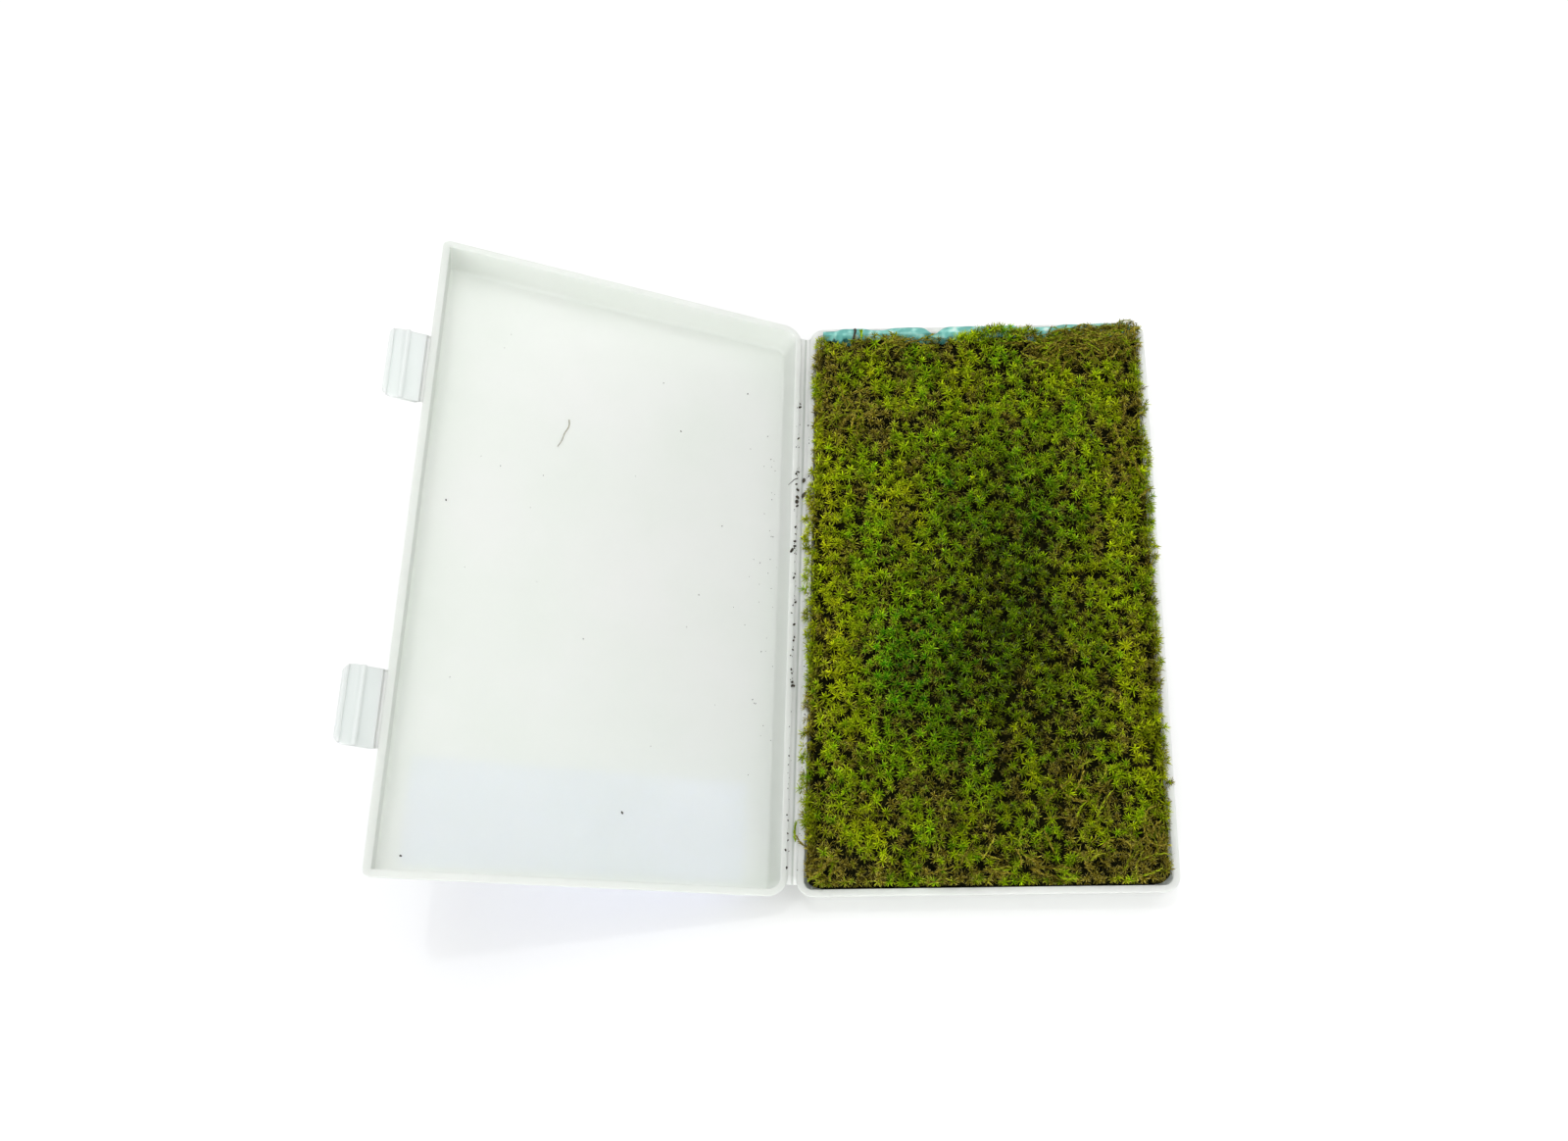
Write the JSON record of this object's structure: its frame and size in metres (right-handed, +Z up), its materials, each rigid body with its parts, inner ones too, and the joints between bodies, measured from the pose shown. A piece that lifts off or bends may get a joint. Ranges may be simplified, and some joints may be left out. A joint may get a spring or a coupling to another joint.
{
  "type": "moss clump in a hinged case",
  "caption": "Live star moss mat packed in a shallow translucent hinged case, lying open with its lid raised and its snap latches out.",
  "frame": {"origin": "centre of the tray's underside", "axes": "+Z up; +X across the case, from the hinge to the tray's free wall; +Y along the hinge, away from the label's end"},
  "size_m": [0.2151, 0.182, 0.0669],
  "materials": {
    "case_plastic": "satin",
    "label_paper": "matte",
    "liner_film": "satin",
    "moss": "matte"
  },
  "bodies": {
    "tray": {"case_tray": "case_plastic", "hinge_web_tray_side": "case_plastic", "liner_sheet": "liner_film", "moss_clump": "moss"},
    "lid": {"case_lid": "case_plastic", "hinge_web_lid_side": "case_plastic", "label": "label_paper"},
    "latch_far": {"latch_far": "case_plastic"},
    "latch_near": {"latch_near": "case_plastic"}
  },
  "joints": [
    {"name": "lid_hinge", "type": "hinge", "parent": "tray", "child": "lid", "pos_m": [-0.05475, 0, 0.01265], "axis": [0, 1, 0], "range_deg": [-26, 154]},
    {"name": "latch_far_hinge", "type": "hinge", "parent": "lid", "child": "latch_far", "pos_m": [-0.1526, 0.0488, 0.05999], "axis": [0, 1, 0], "range_deg": [-42, 88]},
    {"name": "latch_near_hinge", "type": "hinge", "parent": "lid", "child": "latch_near", "pos_m": [-0.1526, -0.0488, 0.05999], "axis": [0, 1, 0], "range_deg": [-56, 74]}
  ]
}
